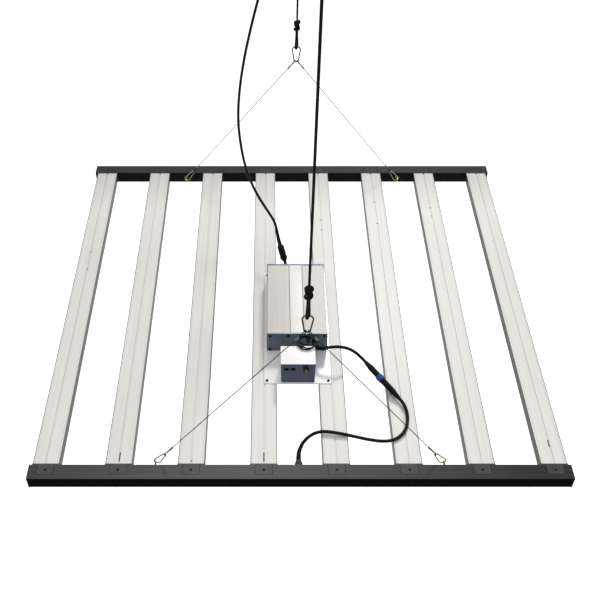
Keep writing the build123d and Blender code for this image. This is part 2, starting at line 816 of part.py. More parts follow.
with BuildPart() as driver_case:
    with BuildSketch(upright(case_front)):
        with Locations((0, case_middle)):
            RectangleRounded(driver_width, driver_height, 2)
            Rectangle(
                driver_width - 2 * driver_wall,
                driver_height - 2 * driver_wall,
                mode=Mode.SUBTRACT,
            )
        for hand in ends:
            with Locations([(hand * x, deck + driver_height - rib_depth / 2) for x in rib_x]):
                Rectangle(rib_gap, rib_depth, mode=Mode.SUBTRACT)
            side_ribs = [deck + (k + 1) * rib_pitch for k in range(8)]
            edge = hand * (driver_width - rib_depth) / 2
            with Locations([(edge, z) for z in side_ribs]):
                Rectangle(rib_depth, rib_gap, mode=Mode.SUBTRACT)
        with Locations(driver_screw_places):
            Rectangle(boss_width, boss_width)
    extrude(amount=-case_length)
    for face, way in ((case_front, -1), (case_rear, 1)):
        with BuildSketch(upright(face)):
            with Locations(driver_screw_places):
                Circle(m4_hole / 2)
        extrude(amount=way * (m4_reach + 2), mode=Mode.SUBTRACT)
    with BuildSketch(level(deck)):
        with Locations(driver_foot_places):
            Circle(m4_hole / 2)
    extrude(amount=m4_reach + 1, mode=Mode.SUBTRACT)
driver_case.part.label = "driver_case"
export_step(driver_case.part, "parts/driver_case.step")


def make_end_plate(face, way, gland_holes):
    """A driver end plate lying on a case face; way is 1 when it stands forward."""
    with BuildPart() as plate:
        with BuildSketch(upright(face)):
            with Locations((0, deck + end_plate_height / 2)):
                RectangleRounded(end_plate_width, end_plate_height, 2)
            with Locations(driver_screw_places):
                Circle(m4_hole / 2, mode=Mode.SUBTRACT)
            for x, z, thread in gland_holes:
                with Locations((x, z)):
                    Circle(thread / 2 + 0.1, mode=Mode.SUBTRACT)
        extrude(amount=way * end_plate_thickness)
    return plate.part


mains_thread = 10
dimming_thread = 6
front_holes = [
    (output_gland_x, output_gland_z, mains_thread),
    (dimming_gland_x, dimming_gland_z, dimming_thread),
]
rear_holes = [(mains_gland_x, mains_gland_z, mains_thread)]

with BuildPart() as driver_front_plate:
    add(make_end_plate(case_front, 1, front_holes))
driver_front_plate.part.label = "driver_front_plate"
export_step(driver_front_plate.part, "parts/driver_front_plate.step")

with BuildPart() as driver_rear_plate:
    add(make_end_plate(case_rear, -1, rear_holes))
driver_rear_plate.part.label = "driver_rear_plate"
export_step(driver_rear_plate.part, "parts/driver_rear_plate.step")

with BuildPart() as driver_screws:
    reach = end_plate_thickness + m4_reach
    add(make_screws(upright(driver_front), driver_screw_places, reach))
    add(make_screws(rearward(driver_rear), driver_screw_places, reach))
driver_screws.part.label = "driver_screws"
export_step(driver_screws.part, "parts/driver_screws.step")

# The board stands on posts; each component: X, Y from the driver's middle, size, height
driver_y = (driver_front + driver_rear) / 2
driver_board_z = deck + driver_wall + 9
component_boxes = ((-28, 20, 44, 50, 32), (30, 70, 30, 44, 28), (34, -40, 36, 30, 26))
component_cans = ((-36, -40, 11, 32), (-8, -46, 11, 32), (8, 68, 9, 30), (-40, 84, 12, 14))

with BuildPart() as driver_board:
    board_length = case_length - 12
    with BuildSketch(level(driver_board_z)):
        with Locations((0, driver_y)):
            Rectangle(driver_width - 2 * driver_wall - 2 * boss_width, board_length)
    extrude(amount=board_thickness)
    with BuildSketch(level(deck + driver_wall)):
        with Locations((0, driver_y)):
            with GridLocations(80, board_length - 16, 2, 2):
                Circle(3)
    extrude(amount=driver_board_z - deck - driver_wall)
    for x, y, width, length, height in component_boxes:
        with BuildSketch(level(driver_board_z + board_thickness)):
            with Locations((x, driver_y + y)):
                Rectangle(width, length)
        extrude(amount=height)
    for x, y, radius, height in component_cans:
        with BuildSketch(level(driver_board_z + board_thickness)):
            with Locations((x, driver_y + y)):
                Circle(radius)
        extrude(amount=height)
driver_board.part.label = "driver_board"
export_step(driver_board.part, "parts/driver_board.step")


# ---- Controller box -----------------------------------------------------------------
shell_front = box_front + panel_thickness
shell_length = box_rear - shell_front
shell_y = (box_rear + shell_front) / 2

with BuildPart() as controller_shell:
    with BuildSketch(level(deck)):
        with Locations((0, shell_y)):
            RectangleRounded(box_width, shell_length, 2)
    extrude(amount=box_height)
    with BuildSketch(upright(shell_front - 1)):
        with Locations((0, deck + box_height / 2)):
            Rectangle(box_width - 2 * box_wall, box_height - 2 * box_wall)
    extrude(amount=-(shell_length + 1 - box_wall), mode=Mode.SUBTRACT)
    with BuildSketch(level(deck)):
        with Locations(box_foot_places):
            Circle(m4_hole / 2)
    extrude(amount=box_wall, mode=Mode.SUBTRACT)
    with BuildSketch(upright(box_rear - box_wall - 1)):
        with Locations(lead_hole):
            Circle(dimming_diameter / 2 + 0.2)
    extrude(amount=-box_wall - 2, mode=Mode.SUBTRACT)
controller_shell.part.label = "controller_shell"
export_step(controller_shell.part, "parts/controller_shell.step")

with BuildPart() as controller_panel:
    with BuildSketch(upright(shell_front)):
        with BuildLine():
            Polyline(
                (-panel_bottom_width / 2, deck),
                (panel_bottom_width / 2, deck),
                (panel_top_width / 2, deck + box_height),
                (-panel_top_width / 2, deck + box_height),
                close=True,
            )
        make_face()
        with Locations([(x, socket_z) for x in jack_x]):
            Rectangle(
                jack_width + 2 * jack_clearance,
                jack_height + 2 * jack_clearance,
                mode=Mode.SUBTRACT,
            )
        with Locations((pot_x, socket_z)):
            Circle(shaft_hole / 2, mode=Mode.SUBTRACT)
    extrude(amount=panel_thickness)
    outer = controller_panel.edges().filter_by(Axis.X).group_by(Axis.Y)[0]
    fillet(outer, radius=1)
controller_panel.part.label = "controller_panel"
export_step(controller_panel.part, "parts/controller_panel.step")

with BuildPart() as rj_jacks:
    with BuildSketch(upright(box_front + 0.6)):
        with Locations([(x, socket_z) for x in jack_x]):
            Rectangle(jack_width, jack_height)
    extrude(amount=-jack_depth)
    with BuildSketch(upright(box_front + 0.6)):
        with Locations([(x, socket_z) for x in jack_x]):
            Rectangle(jack_mouth_width, jack_mouth_height)
        with Locations([(x, socket_z - jack_mouth_height / 2) for x in jack_x]):
            Rectangle(4, 2.4)
    extrude(amount=-jack_mouth_depth, mode=Mode.SUBTRACT)
rj_jacks.part.label = "rj_jacks"
export_step(rj_jacks.part, "parts/rj_jacks.step")

pot_size = 11
pot_front = shell_front + 4

with BuildPart() as controller_board:
    board_front = shell_front + 2
    board_depth = box_rear - box_wall - 2 - board_front
    board_top = socket_z - jack_height / 2
    with BuildSketch(level(board_top)):
        with Locations((0, board_front + board_depth / 2)):
            Rectangle(box_width - 2 * box_wall - 2, board_depth)
    extrude(amount=-board_thickness)
    post_height = board_top - board_thickness - deck - box_wall
    with BuildSketch(level(deck + box_wall)):
        with Locations((0, board_front + board_depth / 2)):
            with GridLocations(64, board_depth - 10, 2, 2):
                Circle(2.5)
    extrude(amount=post_height)
    with BuildSketch(level(board_top)):
        with Locations((pot_x, pot_front + pot_size / 2)):
            Rectangle(pot_size, pot_size)
    extrude(amount=socket_z - board_top + pot_size / 2)
    with BuildSketch(upright(pot_front)):
        with Locations((pot_x, socket_z)):
            Circle(pot_shaft / 2)
    extrude(amount=pot_front - box_front + pot_shaft_length)
controller_board.part.label = "controller_board"
export_step(controller_board.part, "parts/controller_board.step")

knob_back = box_front - knob_gap
knob_flutes = 14

with BuildPart() as dimmer_knob:
    with BuildSketch(upright(knob_back)):
        with Locations((pot_x, socket_z)):
            Circle(knob_diameter / 2)
            with PolarLocations(knob_diameter / 2 + 0.35, knob_flutes):
                Circle(0.8, mode=Mode.SUBTRACT)
    extrude(amount=knob_length)
    with BuildSketch(upright(knob_back)):
        with Locations((pot_x, socket_z)):
            Circle(pot_shaft / 2 + knob_bore_clearance)
    extrude(amount=pot_shaft_length, mode=Mode.SUBTRACT)
    with BuildSketch(upright(knob_back - knob_length)):
        with Locations((pot_x, socket_z + knob_diameter * 0.27)):
            Rectangle(1.2, knob_diameter * 0.34)
    extrude(amount=-0.5, mode=Mode.SUBTRACT)
dimmer_knob.part.label = "dimmer_knob"
export_step(dimmer_knob.part, "parts/dimmer_knob.step")

# ---- Cable glands -------------------------------------------------------------------
def make_gland(plane, place, thread, across, height, tail):
    """A gland standing on a face: thread in the wall, hexagon and domed nut."""
    base = height * 0.35
    dome = height - base
    with BuildPart() as gland:
        with BuildSketch(plane):
            with Locations(place):
                RegularPolygon(across / 2, 6, major_radius=False)
        extrude(amount=base)
        with BuildSketch(plane.offset(base)):
            with Locations(place):
                Circle(across * 0.45)
        extrude(amount=dome * 0.6)
        with BuildSketch(plane.offset(base + dome * 0.6)):
            with Locations(place):
                Circle(across * 0.45)
        extrude(amount=dome * 0.4, taper=18)
        with BuildSketch(plane):
            with Locations(place):
                Circle(thread / 2)
        extrude(amount=-tail)
    return gland.part


with BuildPart() as cable_glands:
    front = upright(driver_front)
    rear = rearward(driver_rear)
    tail = end_plate_thickness + 3
    height = driver_gland_height
    add(make_gland(front, (output_gland_x, output_gland_z), mains_thread,
                   driver_gland_width, height, tail))
    add(make_gland(front, (dimming_gland_x, dimming_gland_z), dimming_thread,
                   dimming_gland_width, height, tail))
    add(make_gland(rear, (-mains_gland_x, mains_gland_z), mains_thread,
                   driver_gland_width, mains_gland_height, tail))
    add(make_gland(rearward(-rail_face_y), (-gland_x, gland_z), gland_thread,
                   rail_gland_width, rail_gland_height, rail_wall + gland_tail))
cable_glands.part.label = "cable_glands"
export_step(cable_glands.part, "parts/cable_glands.step")


# ---- Cords ----------------------------------------------------------------------------
def corner_radii(points):
    """A radius for each inner point of a cord's way, as large as its runs allow."""
    radii = []
    for before, point, after in zip(points, points[1:], points[2:]):
        run_in = point - before
        run_out = after - point
        half_turn = radians(run_in.get_angle(run_out)) / 2
        radii.append(0.45 * min(run_in.length, run_out.length) / tan(half_turn))
    return radii


def make_cord(name, places, diameter):
    """A round cord through these places, given from the fixture's middle."""
    points = [at(*place) for place in places]
    radii = corner_radii(points)
    with BuildPart() as cord:
        with BuildLine() as way:
            FilletPolyline(*points, radius=radii)
        with BuildSketch(axis_plane(way.line @ 0, way.line % 0)):
            Circle(diameter / 2)
        sweep()
    length = sum(edge.length for edge in way.edges())
    share = cord.part.volume / (length * pi * diameter**2 / 4)
    listed = " ".join(f"{radius:.0f}" for radius in radii)
    print(f"{name}: {length:.0f} mm, volume share {share:.4f}, radii {listed}")
    return cord.part


def make_turned(point, way, outline):
    """A turned piece on an axis, from pairs of distance along it and radius."""
    side = Vector(0, 0, 1).cross(way).normalized()
    frame = Plane(origin=point, x_dir=side, z_dir=side.cross(way))
    corners = [(radius, along) for along, radius in outline]
    with BuildPart() as turned:
        with BuildSketch(frame):
            with BuildLine():
                Polyline((0, outline[0][0]), *corners, (0, outline[-1][0]), close=True)
            make_face()
        revolve(axis=Axis(point, way))
    return turned.part


def make_ring(point, way, inner, outer, length, flutes):
    """A fluted coupling ring that turns on its connector's neck."""
    face = axis_plane(point, way)
    with BuildPart() as ring:
        with BuildSketch(face):
            Circle(outer)
            with PolarLocations(outer + 0.3, flutes):
                Circle(0.8, mode=Mode.SUBTRACT)
            Circle(inner, mode=Mode.SUBTRACT)
        extrude(amount=length)
    return ring.part


ring_play = 0.3         # between a coupling ring and its connector, along the axis
ring_clearance = 0.1    # and around its neck
output_way = (
    (44, -203, 38), (44, -211, 38), (47.5, -218.5, 41.5), (56, -224, 47), (70, -226, 52),
    (92, -224.5, 53.5), (115, -221.5, 46.5), (136, -223.5, 33.5), (151.9, -234.7, 24),
    (160, -246, 22.5),
)
rail_way = (
    (228.3, -342.1, 10), (235.9, -352.8, 8.6), (242.5, -368, 6.6), (244.5, -396, 4.4),
    (236.5, -429, 4.2), (216, -452, 4.2), (189, -460, 4.2), (153, -455, 4.2),
    (111, -443.5, 5), (76, -437, 7.4), (49, -434, 7.6), (27, -439, 3), (9, -453, -5),
    (-0.5, -468.5, -13.5), (-2.5, -484, -18), (-2.5, -497, -18),
)
pigtail_way = ((-22, 60, 26), (-22, 70.5, 26), (-22.9, 80.5, 30.1), (-25.9, 87.4, 37.8))
power_way = (
    (-39.3, 118, 72), (-44.7, 130.4, 85.8), (-47.5, 143.5, 101), (-53, 157.5, 114),
    (-65, 175, 124), (-83, 200, 138), (-105, 231, 159), (-125, 268, 188),
    (-140, 313, 229), (-149, 360, 288), (-144, 391, 358), (-131, 414, 434),
    (-113, 431, 510), (-95, 448, 575), (-77, 464, 632), (-59, 475, 688), (-40.9, 475, 728),
)
dimming_way = (
    (26, -203, 46), (26, -209, 46), (22.5, -214.5, 48), (15.5, -217, 51),
    (8.5, -215, 54.8), (3.8, -211.5, 61),
)
dimming_return = (
    (35.6, -206, 62.1), (35.6, -206.2, 52.5), (35.2, -208, 43), (34, -213.5, 35),
    (32.5, -221.5, 30.6), (32, -232, 30),
)

with BuildPart() as output_cable:
    add(make_cord("output lead", output_way, output_diameter))
    add(make_cord("output cable", rail_way, output_diameter))
output_cable.part.label = "output_cable"
export_step(output_cable.part, "parts/output_cable.step")

output_start = at(*output_way[-1])
output_axis = (at(*rail_way[0]) - output_start).normalized()
output_span = (at(*rail_way[0]) - output_start).length
output_neck = 47        # from the connector's start to its ring
output_ring_length = 14

with BuildPart() as output_connector:
    neck_end = output_neck + output_ring_length
    tip = output_diameter / 2 + 1
    first = (
        (0, tip), (16, 6.3), (16, 7), (output_neck, 7), (output_neck, 6.4), (neck_end, 6.4),
    )
    second = (
        (neck_end, 7.25), (output_span - 17, 7.25), (output_span - 17, 6.3), (output_span, tip),
    )
    add(make_turned(output_start, output_axis, first))
    add(make_turned(output_start, output_axis, second))
output_connector.part.label = "output_connector"
export_step(output_connector.part, "parts/output_connector.step")

with BuildPart() as output_ring:
    foot = output_start + output_axis * (output_neck + ring_play)
    length = output_ring_length - 2 * ring_play
    add(make_ring(foot, output_axis, 6.4 + ring_clearance, 8.75, length, 20))
output_ring.part.label = "output_ring"
export_step(output_ring.part, "parts/output_ring.step")

power_start = at(*pigtail_way[-1])
power_axis = (at(*power_way[0]) - power_start).normalized()
power_span = (at(*power_way[0]) - power_start).length
power_neck = 17
power_ring_length = 16

with BuildPart() as power_connector:
    neck_end = power_neck + power_ring_length
    tip = mains_diameter / 2 + 0.8
    first = (
        (0, tip), (6, 7.2), (7, 9), (power_neck, 9), (power_neck, 6), (neck_end, 6),
    )
    second = (
        (neck_end, 8.8), (neck_end + 8, 8.8), (neck_end + 9, 7.2), (power_span, tip),
    )
    add(make_turned(power_start, power_axis, first))
    add(make_turned(power_start, power_axis, second))
power_connector.part.label = "power_connector"
export_step(power_connector.part, "parts/power_connector.step")

with BuildPart() as power_ring:
    foot = power_start + power_axis * (power_neck + ring_play)
    length = power_ring_length - 2 * ring_play
    add(make_ring(foot, power_axis, 6 + ring_clearance, 8.6, length, 18))
power_ring.part.label = "power_ring"
export_step(power_ring.part, "parts/power_ring.step")

tail_x = power_coil_x + power_coil_radius + (power_coil_bundle + mains_diameter) / 2 + cord_gap
tail_z = power_coil_z + 8
plug_z = tail_z - plug_tail

with BuildPart() as power_cord:
    add(make_cord("mains pigtail", pigtail_way, mains_diameter))
    add(make_cord("power cord", power_way, mains_diameter))
    with BuildSketch(level(tail_z)):
        with Locations((tail_x, power_coil_y)):
            Circle(mains_diameter / 2)
    extrude(amount=-plug_tail)
power_cord.part.label = "power_cord"
export_step(power_cord.part, "parts/power_cord.step")

with BuildPart() as power_coil:
    with BuildSketch(Plane(origin=at(power_coil_x, power_coil_y, power_coil_z))):
        with Locations((power_coil_radius, 0)):
            Circle(power_coil_bundle / 2)
    revolve(axis=Axis(at(power_coil_x, power_coil_y, power_coil_z), (0, 1, 0)))
power_coil.part.label = "power_coil"
export_step(power_coil.part, "parts/power_coil.step")

# The tie goes slantwise round the coil's top and the rope behind it
with BuildPart() as coil_tie:
    tie_front = power_coil_y - power_coil_bundle / 2 - cord_gap
    tie_rear = pull_y + rope_diameter / 2 + cord_gap
    tie_half = power_coil_bundle / 2 * sqrt(2) + tie_band
    tie_top = power_coil_z + power_coil_radius - tie_band / 2
    tie_plane = Plane(
        origin=at(power_coil_x, (tie_front + tie_rear) / 2, tie_top),
        x_dir=(1, 0, 1),
        z_dir=(1, 0, -1),
    )
    with BuildSketch(tie_plane):
        outer = 2 * tie_thickness
        RectangleRounded(2 * tie_half + outer, tie_rear - tie_front + outer, 6)
        RectangleRounded(2 * tie_half, tie_rear - tie_front, 4.5, mode=Mode.SUBTRACT)
    extrude(amount=tie_band / 2, both=True)
coil_tie.part.label = "coil_tie"
export_step(coil_tie.part, "parts/coil_tie.step")

with BuildPart() as mains_plug:
    with BuildSketch(level(plug_z)):
        with Locations((tail_x, power_coil_y)):
            Circle(mains_diameter / 2 + 0.8)
    with BuildSketch(level(plug_z - plug_relief)):
        with Locations((tail_x, power_coil_y)):
            Circle(plug_depth / 2 - 2)
    loft()
    with BuildSketch(level(plug_z - plug_relief)):
        with Locations((tail_x, power_coil_y)):
            RectangleRounded(plug_width, plug_depth, 6)
    extrude(amount=-plug_length)
    with BuildSketch(level(plug_z - plug_relief - plug_length)):
        with Locations([(tail_x + hand * 6.35, power_coil_y - 2) for hand in ends]):
            Rectangle(1.5, 6.3)
    extrude(amount=-blade_length)
    with BuildSketch(level(plug_z - plug_relief - plug_length)):
        with Locations((tail_x, power_coil_y + 6)):
            Circle(2.4)
    extrude(amount=-blade_length - 3)
mains_plug.part.label = "mains_plug"
export_step(mains_plug.part, "parts/mains_plug.step")

dimming_coil_z = deck + box_height + cord_gap + dimming_coil_bundle / 2

with BuildPart() as dimming_lead:
    add(make_cord("dimming lead", dimming_way, dimming_diameter))
    add(make_cord("dimming return", dimming_return, dimming_diameter))
dimming_lead.part.label = "dimming_lead"
export_step(dimming_lead.part, "parts/dimming_lead.step")

with BuildPart() as dimming_coil:
    middle = at(dimming_coil_x, dimming_coil_y, dimming_coil_z)
    with BuildSketch(Plane(origin=middle, x_dir=(1, 0, 0), z_dir=(0, -1, 0))):
        with Locations((dimming_coil_radius, 0)):
            Circle(dimming_coil_bundle / 2)
    revolve(axis=Axis(middle, (0, 0, 1)))
dimming_coil.part.label = "dimming_coil"
export_step(dimming_coil.part, "parts/dimming_coil.step")

mains_length = power_coil_turns * 2 * pi * power_coil_radius
dimming_length = dimming_coil_turns * 2 * pi * dimming_coil_radius
print(f"in the power coil {mains_length:.0f} mm, in the dimming coil {dimming_length:.0f} mm")
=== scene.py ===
from math import cos, pi, radians, sin

import bpy
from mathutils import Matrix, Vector


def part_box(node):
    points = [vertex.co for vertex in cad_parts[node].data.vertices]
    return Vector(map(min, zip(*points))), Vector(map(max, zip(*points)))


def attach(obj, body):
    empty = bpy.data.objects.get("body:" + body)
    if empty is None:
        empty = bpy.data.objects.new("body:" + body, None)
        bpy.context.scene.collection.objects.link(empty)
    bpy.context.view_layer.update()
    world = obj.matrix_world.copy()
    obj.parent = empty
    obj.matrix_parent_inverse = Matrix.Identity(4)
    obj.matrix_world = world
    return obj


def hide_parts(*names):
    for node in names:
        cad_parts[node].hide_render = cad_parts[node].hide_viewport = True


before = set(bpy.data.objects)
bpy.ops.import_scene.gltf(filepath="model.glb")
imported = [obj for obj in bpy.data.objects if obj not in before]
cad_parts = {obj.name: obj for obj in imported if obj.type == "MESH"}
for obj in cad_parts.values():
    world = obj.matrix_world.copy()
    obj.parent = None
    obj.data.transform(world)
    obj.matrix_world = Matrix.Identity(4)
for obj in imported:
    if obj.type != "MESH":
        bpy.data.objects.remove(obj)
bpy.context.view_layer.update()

# The eight-bar LED grow light in metres, in the frame of its CAD model: +Z up, +X along
# the rails and +Y from the front rail to the rear one. Places on the fixture are given
# from its middle at the rails' top, as at() reads them.
fixture_shift = -0.0045
fixture_top = -1.175


def at(x, y, z):
    """A point given from the fixture's middle, at its top plane."""
    return Vector((fixture_shift + x, y, fixture_top + z))


# ---- Materials ---------------------------------------------------------------------
def material_base(name):
    """A new node material, with its tree and its shader."""
    material = bpy.data.materials.new(name)
    material.use_nodes = True
    tree = material.node_tree
    return material, tree, tree.nodes["Principled BSDF"]


def grey(value):
    """A neutral colour."""
    return (value, value, value)


def noise_of(tree, coordinates, scale, stretch=(1, 1, 1)):
    """Noise in the object's own coordinates, stretched along its axes."""
    mapping = tree.nodes.new("ShaderNodeMapping")
    mapping.inputs["Scale"].default_value = stretch
    tree.links.new(coordinates.outputs["Object"], mapping.inputs["Vector"])
    noise = tree.nodes.new("ShaderNodeTexNoise")
    noise.inputs["Scale"].default_value = scale
    noise.inputs["Detail"].default_value = 4
    tree.links.new(mapping.outputs["Vector"], noise.inputs["Vector"])
    return noise.outputs["Fac"]


def colours_of(tree, factor, dark, light):
    """A colour ramp between two colours."""
    ramp = tree.nodes.new("ShaderNodeValToRGB")
    ramp.color_ramp.elements[0].position = 0.3
    ramp.color_ramp.elements[0].color = (*dark, 1)
    ramp.color_ramp.elements[1].position = 0.7
    ramp.color_ramp.elements[1].color = (*light, 1)
    tree.links.new(factor, ramp.inputs["Fac"])
    return ramp.outputs["Color"]


def range_of(tree, value, low, high, start=0, end=1):
    """A value from start to end as one from low to high."""
    node = tree.nodes.new("ShaderNodeMapRange")
    node.inputs["From Min"].default_value = start
    node.inputs["From Max"].default_value = end
    node.inputs["To Min"].default_value = low
    node.inputs["To Max"].default_value = high
    tree.links.new(value, node.inputs["Value"])
    return node.outputs["Result"]


def math_of(tree, operation, first, second=None):
    """A math node's value; the first input is a socket, the second one may be a number."""
    node = tree.nodes.new("ShaderNodeMath")
    node.operation = operation
    tree.links.new(first, node.inputs[0])
    if isinstance(second, (int, float)):
        node.inputs[1].default_value = second
    elif second is not None:
        tree.links.new(second, node.inputs[1])
    return node.outputs["Value"]


def axis_of(tree, vector, axis):
    """One axis of a vector."""
    parts = tree.nodes.new("ShaderNodeSeparateXYZ")
    tree.links.new(vector, parts.inputs["Vector"])
    return parts.outputs[axis]


def multiplied(tree, colour, factor):
    """The colour, darkened by a factor from 0 to 1."""
    mix = tree.nodes.new("ShaderNodeVectorMath")
    mix.operation = "MULTIPLY"
    tree.links.new(colour, mix.inputs[0])
    tree.links.new(factor, mix.inputs[1])
    return mix.outputs["Vector"]


def painted_side_shade_of(tree, painted_side_shade):
    """1 on faces that look up or down, and a share of it on upright ones, as painted shade on
    the upright faces.
    """
    geometry = tree.nodes.new("ShaderNodeNewGeometry")
    upright = math_of(tree, "ABSOLUTE", axis_of(tree, geometry.outputs["Normal"], "Z"))
    return colours_of(tree, upright, grey(painted_side_shade), grey(1))


roughness_spread = 0.15          # how much a finish's roughness varies, as a share of it


def make_material(name, dark, light, roughness, metallic=0.0, scale=40, stretch=(1, 1, 1),
                  bump=0.0, bump_scale=400, specular=0.5, coat=0.0, painted_side_shade=1.0):
    """A plain finish whose colour, roughness and surface vary a little; a share below 1 for
    upright faces darkens them as painted shade.
    """
    material, tree, shader = material_base(name)
    coordinates = tree.nodes.new("ShaderNodeTexCoord")
    factor = noise_of(tree, coordinates, scale, stretch)
    colour = colours_of(tree, factor, dark, light)
    # painted shade: upright faces keep only a share of the colour
    if painted_side_shade < 1:
        colour = multiplied(tree, colour, painted_side_shade_of(tree, painted_side_shade))
    tree.links.new(colour, shader.inputs["Base Color"])
    smoothest = roughness * (1 - roughness_spread)
    roughest = min(1, roughness * (1 + roughness_spread))
    rough = range_of(tree, factor, smoothest, roughest)
    tree.links.new(rough, shader.inputs["Roughness"])
    shader.inputs["Metallic"].default_value = metallic
    shader.inputs["Specular IOR Level"].default_value = specular
    shader.inputs["Coat Weight"].default_value = coat
    shader.inputs["Coat Roughness"].default_value = 0.15
    if bump:
        grain = noise_of(tree, coordinates, bump_scale, stretch)
        bumps = tree.nodes.new("ShaderNodeBump")
        bumps.inputs["Strength"].default_value = bump
        bumps.inputs["Distance"].default_value = 0.001
        tree.links.new(grain, bumps.inputs["Height"])
        tree.links.new(bumps.outputs["Normal"], shader.inputs["Normal"])
    return material


def place_on(material, axis):
    """Where a point lies along an axis of the object, in metres."""
    tree = material.node_tree
    return axis_of(tree, tree.nodes["Texture Coordinate"].outputs["Object"], axis)


def darken(material, share):
    """Multiplies a finish's colour by a share from 0 to 1."""
    tree = material.node_tree
    target = tree.nodes["Principled BSDF"].inputs["Base Color"]
    tree.links.new(multiplied(tree, target.links[0].from_socket, share), target)


def paint_shade_along(material, axis, start, end, last, centre=None):
    """Paints shade on a finish, darkening it from start to end of an axis, or of the distance
    from a centre, where it leaves a painted highlight.
    """
    tree = material.node_tree
    place = place_on(material, axis)
    if centre is not None:
        place = math_of(tree, "ABSOLUTE", math_of(tree, "SUBTRACT", place, centre))
    darken(material, range_of(tree, place, 1, last, start, end))


along_bars = (1, 0.02, 1)        # stretches of the noise
along_rails = (0.02, 1, 1)
bar_count = 8
bar_pitch = 0.156
bar_half_width = 0.029
edge_shade_width = 0.0016               # width of the painted shade line along a bar's edges
edge_shade_blur = 0.0004
edge_shade_share = 0.2                 # brightness of that painted shade line
rail_highlight_middle = -0.13                # middle of the painted highlight on the front rail
rail_highlight_half = 0.04
rail_shade_reach = 0.62                # and the painted shade is darkest this far from there


def make_bar_silver():
    """Satin silver, drawn along the bars, with painted shade as a dark line along both edges,
    on the upright faces and towards the rear ends.
    """
    material = make_material(
        "bar silver", (0.85, 0.828, 0.79), (0.93, 0.908, 0.872), 0.4, scale=160,
        stretch=along_bars, bump=0.03, specular=0.2, painted_side_shade=0.3,
    )
    tree = material.node_tree
    # painted shade: a dark line along both edges of each bar's top
    from_first = math_of(
        tree, "SUBTRACT", place_on(material, "X"), fixture_shift + bar_pitch / 2,
    )
    off_middle = math_of(tree, "PINGPONG", from_first, bar_pitch / 2)
    inner = bar_half_width - edge_shade_width
    darken(material, range_of(tree, off_middle, 1, edge_shade_share, inner - edge_shade_blur, inner))
    # painted shade: the bars darken from the front towards their rear ends
    paint_shade_along(material, "Y", start=-0.45, end=0.15, last=0.86)
    paint_shade_along(material, "Y", start=0.34, end=0.514, last=0.74)
    return material


# The rails' black on the front rail, lightened as a painted sheen, with painted shade on its
# upright faces
front_rail_black_painted_sheen = make_material(
    "rail black", grey(0.115), grey(0.155), 0.4, scale=200, stretch=along_rails, bump=0.05,
    specular=0.008, painted_side_shade=0.015,
)
# painted highlight on part of the front rail, with painted shade towards its ends
paint_shade_along(front_rail_black_painted_sheen, "X", rail_highlight_half, rail_shade_reach, last=0.36, centre=rail_highlight_middle)
# The rear rail's copy of the rails' black, darker than the front rail's as painted shade,
# with painted shade on its upright faces
rear_rail_black_painted_shade = make_material(
    "rear rail black", grey(0.028), grey(0.042), 0.4, scale=200, stretch=along_rails,
    bump=0.05, specular=0.06, painted_side_shade=0.15,
)
plastic_black = make_material(
    "black plastic", grey(0.012), grey(0.018), 0.5, bump=0.1, specular=0.25,
)
bar_silver = make_bar_silver()
# The brackets' black, with painted shade on its upright faces
bracket_black_painted_light = make_material(
    "bracket black", grey(0.1), grey(0.125), 0.45, bump=0.1, specular=0.1,
    painted_side_shade=0.2,
)
# painted shade: the brackets at the rear rail are darker than those at the front
paint_shade_along(bracket_black_painted_light, "Y", start=-0.1, end=0.1, last=0.34)
# painted highlight on the front brackets, matching the front rail's, with painted shade
# towards the ends
paint_shade_along(bracket_black_painted_light, "X", rail_highlight_half, rail_shade_reach, last=0.6, centre=rail_highlight_middle)
board_white = make_material("board white", grey(0.8), grey(0.86), 0.35, scale=60)
screw_black = make_material("screw black", grey(0.006), grey(0.012), 0.4, specular=0.15)
rivet_steel = make_material("rivet steel", grey(0.06), grey(0.12), 0.5, metallic=0.3)
plate_white = make_material(
    "plate white", grey(0.91), grey(0.94), 0.16, scale=20, coat=0.5,
)
driver_grey = make_material(
    "driver grey", (0.58, 0.555, 0.51), (0.64, 0.615, 0.575), 0.4, scale=150,
    stretch=along_bars, specular=0.4,
)
slate = make_material(
    "slate", (0.05, 0.085, 0.13), (0.16, 0.21, 0.25), 0.35, metallic=0.3, scale=9,
    bump=0.08, bump_scale=1500,
)
board_green = make_material("board green", (0.01, 0.07, 0.03), (0.02, 0.1, 0.05), 0.4)
shell_white = make_material("shell white", grey(0.85), grey(0.89), 0.35)
panel_slate = make_material(
    "panel slate", (0.02, 0.042, 0.085), (0.034, 0.066, 0.125), 0.42, scale=30,
    bump=0.08, bump_scale=1500,
)
jack_black = make_material("jack black", grey(0.006), grey(0.01), 0.45)
knob_black = make_material("knob black", grey(0.012), grey(0.02), 0.4)
cable_black = make_material(
    "cable black", grey(0.003), grey(0.006), 0.35, scale=90, specular=0.1,
)
connector_black = make_material(
    "connector black", grey(0.003), grey(0.008), 0.35, bump=0.1, specular=0.09,
)
ring_blue = make_material("ring blue", (0.01, 0.04, 0.3), (0.015, 0.06, 0.38), 0.3)
gland_black = make_material("gland black", grey(0.02), grey(0.035), 0.4, specular=0.3)
rope_black = make_material(
    "rope black", grey(0.003), grey(0.009), 0.8, bump=0.8, bump_scale=900, specular=0.15,
)
hook_black = make_material("hook black", grey(0.008), grey(0.015), 0.25, metallic=0.5)
hook_steel_painted_shade = make_material(
    "hook steel", (0.2, 0.185, 0.13), (0.34, 0.32, 0.23), 0.28, metallic=0.9, scale=300,
)
